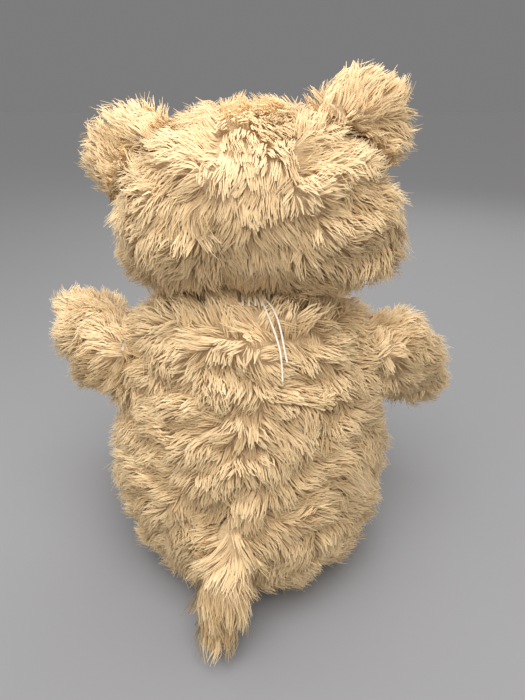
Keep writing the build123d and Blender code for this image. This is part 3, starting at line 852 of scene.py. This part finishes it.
# Arms. Stuffed tubes of the same cloth, closed round the stem disc that turns in the shoulder. The pile
# runs down to the paw, which is only the tube's round end.
ARM_GRAIN = 0.003
ARM_DROOP = np.array((0.0, 0.0, -0.45))
limbs = []
for side, sign in SIDES:
    parts = (f"{side}_arm_cover", f"{side}_arm_stem_disc", f"{side}_arm_filling")
    joints = (f"{side}_shoulder_turn",)
    arm = cloth(f"{side}_arm_backing", parts, ARM_GRAIN, joints)
    stuffing(f"{side}_arm_stuffing", f"{side}_arm", parts, joints)
    limbs.append(arm)
    pivot = np.array(next(joint["pos_m"] for joint in frame["joints"] if joint["name"] in joints))
    spread = points_of(arm.data) - pivot
    paw_way = spread[np.argmax(np.linalg.norm(spread, axis=1))]

    def to_paw(places, normals, paw_way=paw_way / np.linalg.norm(paw_way)):
        """The comb of an arm: toward the paw and a little down."""
        return paw_way + ARM_DROOP

    grow(
        arm,
        f"{side}_arm",
        spacing=FUR_SPACING,
        seed=41 + sign,
        regions={f"{side}_arm_fur": everywhere},
        crowding=(torso,),
        comb=to_paw,
        length=0.0125,
        lay=42.0,
        lock_size=22,
    )
    as_shell(arm, f"{side}_arm", f"{side}_arm_cover")

# Legs. Round stuffed thighs, each closed round the stem disc that turns in the hip, and drawn to a foot
# with a flat suede sole. The pile is clipped round the sole.
LEG_GRAIN = 0.0035
LEG_PILE_DEPTH = 0.0075
LEG_FALL = np.array((0.0, -1.0, -0.35))
SOLE_EDGE = 0.0035  # no pile grows nearer than this to the sole
SOLE_CLEARING = 0.026  # the cloth is drawn in fully this far past the sole
SOLE_TRIM = 0.03  # and the pile is at its full length this far past it
for side, sign in SIDES:
    parts = (f"{side}_leg_cover", f"{side}_leg_stem_disc", f"{side}_leg_filling")
    joints = (f"{side}_hip_turn",)
    sole_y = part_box(f"{side}_foot_pad")[0].y

    def leg_ease(places, sole_y=sole_y):
        """The leg is hardly drawn in at the sole, where its pad lies on the backing."""
        return np.clip((places[:, 1] - sole_y - 0.003) / SOLE_CLEARING, 0.06, 1)

    leg = cloth(f"{side}_leg_backing", parts, LEG_GRAIN, joints, LEG_PILE_DEPTH, leg_ease)
    stuffing(f"{side}_leg_stuffing", f"{side}_leg", parts, joints, leg_ease)
    limbs.append(leg)

    def trimmed_sole(places, sole_y=sole_y):
        """The pile is cut short round the sole, clear of its pad."""
        return np.clip((places[:, 1] - sole_y - 0.004) / SOLE_TRIM, 0.22, 1)

    def to_foot(places, normals):
        """The comb of a leg: toward the foot and a little down."""
        return LEG_FALL

    grow(
        leg,
        f"{side}_leg",
        spacing=FUR_SPACING * 1.1,
        seed=51 + sign,
        regions={f"{side}_leg_fur": lambda places, edge=sole_y + SOLE_EDGE: places[:, 1] > edge},
        crowding=(torso, frame["nodes"][f"{side}_foot_pad"]),
        gap=0.004,
        trim=trimmed_sole,
        comb=to_foot,
        length=0.0138,
        lay=40.0,
        lock_size=22,
    )
    as_shell(leg, f"{side}_leg", f"{side}_leg_cover")

# Tail. A flat strip of the cloth with the longest pile, folded and sewn low on the back. Its root is sunk
# in the pile of the back, and its tip hangs to the floor.
TAIL_GRAIN = 0.003
TAIL_PILE_DEPTH = 0.004
TAIL_SPACING = 0.0016
TAIL_SIZE = 0.82  # the strip's size to the whole tail's
TAIL_ROOT_LENGTH = 0.03
TAIL_ROOT_SUNK = 0.014
TAIL_ROOT_NARROWED = 0.4
TAIL_FALL = (0.19, 0.35, -1.0)  # the way that it hangs, and so the way that its pile lies
TAIL_SPREAD = 3.0
tail = cloth("tail_backing", ("tail",), TAIL_GRAIN, depth=TAIL_PILE_DEPTH)
tail_low, tail_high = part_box("tail")
tail_middle = (tail_low.x + tail_high.x) / 2
tail_root = np.array((tail_middle, tail_high.y - 0.02, tail_high.z))
places = tail_root + TAIL_SIZE * (points_of(tail.data) - tail_root)
sunk = rising(places[:, 2], tail_high.z - TAIL_ROOT_LENGTH, TAIL_ROOT_LENGTH)
places[:, 1] -= TAIL_ROOT_SUNK * sunk
places[:, 0] -= TAIL_ROOT_NARROWED * sunk * (places[:, 0] - tail_middle)
reshape(tail, places)


def down_tail(places, normals):
    """The comb of the tail: down its length and a little out at its sides."""
    way = np.tile(TAIL_FALL, (len(places), 1))
    way[:, 0] += TAIL_SPREAD * (places[:, 0] - tail_middle)
    return way


grow(
    tail,
    "torso",
    spacing=TAIL_SPACING,
    seed=61,
    regions={"tail_fur": everywhere},
    crowding=(torso,),
    gap=0.002,
    comb=down_tail,
    length=0.020,
    lay=15.0,
    lock_size=16,
    draw_together=0.2,
    ruffle=10.0,
    swell=0.002,
    # painted shade: the tail's pile is painted darker than the rest of the same cloth, as shade low on the
    # bear
    tone=0.45,
    frizz=0.07,
)
as_shell(tail, "torso", "tail")

# Muzzle and ear linings. Short dense pile, a shade lighter, on the padded muzzle that is sewn to the face
# and on the linings that are sewn into the front of the ears.
SHORT_PILE = 0.0042
SHORT_SPACING = 0.00125
SHORT_GIRTH = 0.0007
SHORT_GRAIN = 0.002
FACE_FITTINGS = [frame["nodes"][node] for node in (*EYES, "nose", "mouth_stitches")]


def from_nose(places, normals):
    """The comb of the muzzle: back from the nose."""
    nose_line = np.array((HEAD_ASIDE, places[:, 1].mean(), MUZZLE_MIDDLE[2]))
    return np.array((0.0, 1.0, 0.0)) + 6 * (places - nose_line)


def outward(places, normals):
    """The comb of an ear's lining: out from its middle."""
    return places - places.mean(0)


for node, comb, seed in (
    ("muzzle", from_nose, 71),
    ("left_ear_lining", outward, 72),
    ("right_ear_lining", outward, 73),
):
    short = cloth(f"{node}_cloth", (node,), SHORT_GRAIN, depth=SHORT_PILE / 3)
    grow(
        short,
        "head",
        spacing=SHORT_SPACING,
        seed=seed,
        regions={f"{node}_pile": everywhere},
        crowding=(head, *limbs, *FACE_FITTINGS),
        gap=0.0012,
        comb=comb,
        length=SHORT_PILE,
        lay=38.0,
        lock_size=14,
        draw_together=0.1,
        ruffle=18.0,
        swell=0.0,
        tone=0.8,
        girth=SHORT_GIRTH,
    )
    short.data.materials.append(backing_finish.material)
    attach(short, "head")
    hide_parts(node)

# Nose and mouth. The nose is dark brown floss in close upright satin stitches over a small padded form,
# and the mouth is a few long stitches of the same floss, twisted, drawn tight against the muzzle.
FLOSS = 0.0011  # from one stitch of the nose to the next
FLOSS_RISE = 0.00022
NOSE_GRAIN = 0.0005
nose_finish = Finish("nose_floss", Roughness=0.5, Sheen_Weight=0.08)
floss_hairs = nose_finish.noise(700.0, 3.0)
nose_finish.colour(floss_hairs, (0.3, (0.030, 0.017, 0.010)), (0.7, (0.085, 0.050, 0.030)))
nose_finish.bump(floss_hairs, 0.3, 0.0002)
nose = solid_copy("stitched_nose", ("nose",), NOSE_GRAIN)
places, normals = points_of(nose.data), points_of(nose.data, "normal")
stitched = FLOSS_RISE * abs(np.sin(places[:, 0] * pi / FLOSS)) * np.clip(-normals[:, 1], 0, 1)
reshape(nose, places + normals * stitched[:, None])
nose.data.materials.append(nose_finish.material)
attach(nose, "head")
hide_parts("nose")
mouth_finish = Finish("mouth_floss", Roughness=0.5)
mouth_plies = mouth_finish.plies(700.0, "DIAGONAL")
mouth_finish.colour(mouth_plies, (0.0, (0.025, 0.014, 0.008)), (1.0, (0.075, 0.045, 0.028)))
mouth_finish.bump(mouth_plies, 0.5, 0.0002)
refinish("mouth_stitches", mouth_finish)

# Eyes. Domed safety eyes of moulded plastic, dark amber round a black pupil under a clear gloss. Their
# stems are pushed through the cloth and held by washers behind it.
EYE_RADIUS = 0.008
FLECKS = 0.06
for eye, middle in zip(EYES, EYE_MIDDLES):
    eye_finish = Finish(f"{eye}_gloss", Roughness=0.08, Coat_Weight=1.0, Coat_Roughness=0.03)
    to_middle = {"Vector": eye_finish.place(), "Location": (-middle[0], 0.0, -middle[2])}
    centred = eye_finish.node("ShaderNodeMapping", {}, to_middle)
    flat = eye_finish.node("ShaderNodeMapping", {}, {"Vector": centred, "Scale": (1.0, 0.0, 1.0)})
    reach = eye_finish.node("ShaderNodeVectorMath", {"operation": "LENGTH"}, {0: flat}, "Value")
    eye_finish.colour(
        reach * (1 / EYE_RADIUS) + eye_finish.noise(900.0, 3.0) * FLECKS,
        (0.0, (0.004, 0.003, 0.003)),
        (0.50, (0.004, 0.003, 0.003)),
        (0.56, (0.10, 0.035, 0.010)),
        (0.85, (0.16, 0.060, 0.018)),
        (0.98, (0.012, 0.006, 0.004)),
    )
    refinish(eye, eye_finish)

# Foot pads. Brushed suede cloth over a thin crowned padding, laid on each sole and sewn down by a row of
# small stitches that sinks into the cloth a little in from its edge.
STITCHES_ROUND = 34
SEAM_AT = 0.86  # as a share of the way from the pad's middle to its edge
SEAM_WIDTH = 0.035
SEAM_DEPTH = 0.0009
STITCH_RISE = 0.0005
PAD_CROWN = 0.0012
PAD_GRAIN = 0.0009
suede_finish = Finish("suede", Roughness=0.85, Sheen_Weight=0.4, Sheen_Roughness=0.5)
nap = suede_finish.noise(140.0, 8.0, 0.7)
worn = suede_finish.noise(28.0, 3.0)
fresh_suede = suede_finish.ramp(nap, (0.3, (0.33, 0.22, 0.125)), (0.7, (0.46, 0.32, 0.195)))
suede_finish.feed("Base Color", suede_finish.mix(worn * 0.5, fresh_suede, (0.55, 0.40, 0.26, 1.0)))
suede_finish.bump(nap, 0.35, 0.0006)
for side, _ in SIDES:
    pad = solid_copy(f"{side}_suede_pad", (f"{side}_foot_pad",), PAD_GRAIN)
    places, normals = points_of(pad.data), points_of(pad.data, "normal")
    centred = places - places.mean(0)
    spread, axes = np.linalg.eigh(centred.T @ centred)
    across = centred @ axes[:, 2] / abs(centred @ axes[:, 2]).max()
    along_pad = centred @ axes[:, 1] / abs(centred @ axes[:, 1]).max()
    reach = np.hypot(across, along_pad)
    outer = np.clip(-normals[:, 1], 0, 1) > 0.6
    seam = np.exp(-(((reach - SEAM_AT) / SEAM_WIDTH) ** 2)) * outer
    stitch = np.clip(np.sin(STITCHES_ROUND * np.arctan2(across, along_pad)) * 3, 0, 1)
    crown = PAD_CROWN * np.clip(1 - reach**2, 0, 1) * outer
    rise = crown - seam * (SEAM_DEPTH - STITCH_RISE * stitch)
    reshape(pad, places + normals * rise[:, None])
    pad.data.materials.append(suede_finish.material)
    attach(pad, f"{side}_leg")
    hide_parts(f"{side}_foot_pad")

# Joint hardware. Discs, stems and push-on washers moulded in off-white plastic. Each stem disc is closed
# into its limb, and a washer pushed on behind a second disc holds it inside the torso, out of sight.
plastic_finish = Finish("joint_plastic", Roughness=0.5)
moulded = plastic_finish.noise(240.0, 5.0)
plastic_finish.colour(moulded, (0.3, (0.80, 0.79, 0.75)), (0.7, (0.88, 0.87, 0.83)))
plastic_finish.bump(moulded, 0.15, 0.0003)
for node in frame["nodes"]:
    if "disc" in node or "washer" in node:
        refinish(node, plastic_finish)

# Torso pile. The same plush, combed down and out from the spine and ruffled by hand in waves. It is sown
# when the limbs and the head are on, because none grows where they lie against the torso.
FLANK_LINE = -0.02  # behind it is the back, before it the belly
WAIST = 0.13
SPINE = 0.003
SPINE_WIDTH = 0.028
THREAD_PRESS = 0.018  # the threads press the pile flat as far as this from their lines
THREAD_POINTS = np.array([point for _, *points in THREAD_ENDS.values() for point in points])


def down_and_out(places, normals):
    """The comb of the torso: down, and out to both sides of the spine. At the nape it stands up."""
    spine = np.tanh((places[:, 0] - SPINE) / SPINE_WIDTH)
    low = rising(0.16 - places[:, 2], 0, 0.10)
    nape = rising(places[:, 2], 0.220, 0.013) * rising(places[:, 1], -0.01, 0.02)
    way = np.zeros_like(places)
    way[:, 0] = spine * (1.0 + 0.5 * low) * (1 - 0.6 * nape) + 3.0 * nape * (1 - nape)
    way[:, 2] = 1.8 * nape - 1.0
    return way


def long_at_nape(places):
    """The torso's pile is longest at the nape, over the closing seam, and is pressed under the threads."""
    nape = rising(places[:, 2], 0.222, 0.013) * rising(places[:, 1], 0, 0.01)
    pressed = np.linalg.norm(places[:, None] - THREAD_POINTS, axis=2).min(1) / THREAD_PRESS
    return (1 + 0.2 * nape) * np.clip(pressed, 0.6, 1)


def torso_region(sign, behind, high):
    """The test of one region of the torso, high being None where it runs from the neck to the seat."""

    def within(places):
        inside = (places[:, 0] > 0) == (sign > 0)
        inside &= (places[:, 1] > FLANK_LINE) == behind
        return inside if high is None else inside & ((places[:, 2] > WAIST) == high)

    return within


torso_regions = {}
for part, behind, high in (("upper_back", True, True), ("lower_back", True, False), ("belly", False, None)):
    for side, sign in SIDES:
        torso_regions[f"torso_{side}_{part}_fur"] = torso_region(sign, behind, high)
grow(
    torso,
    "torso",
    spacing=FUR_SPACING * 1.03,
    seed=7,
    regions=torso_regions,
    crowding=(*limbs, head),
    gap=0.0025,
    comb=down_and_out,
    length=0.0138,
    lay=45.0,
    lock_size=22,
    ruffle=38.0,
    trim=long_at_nape,
)
as_shell(torso, "torso", *TORSO_COVERS)
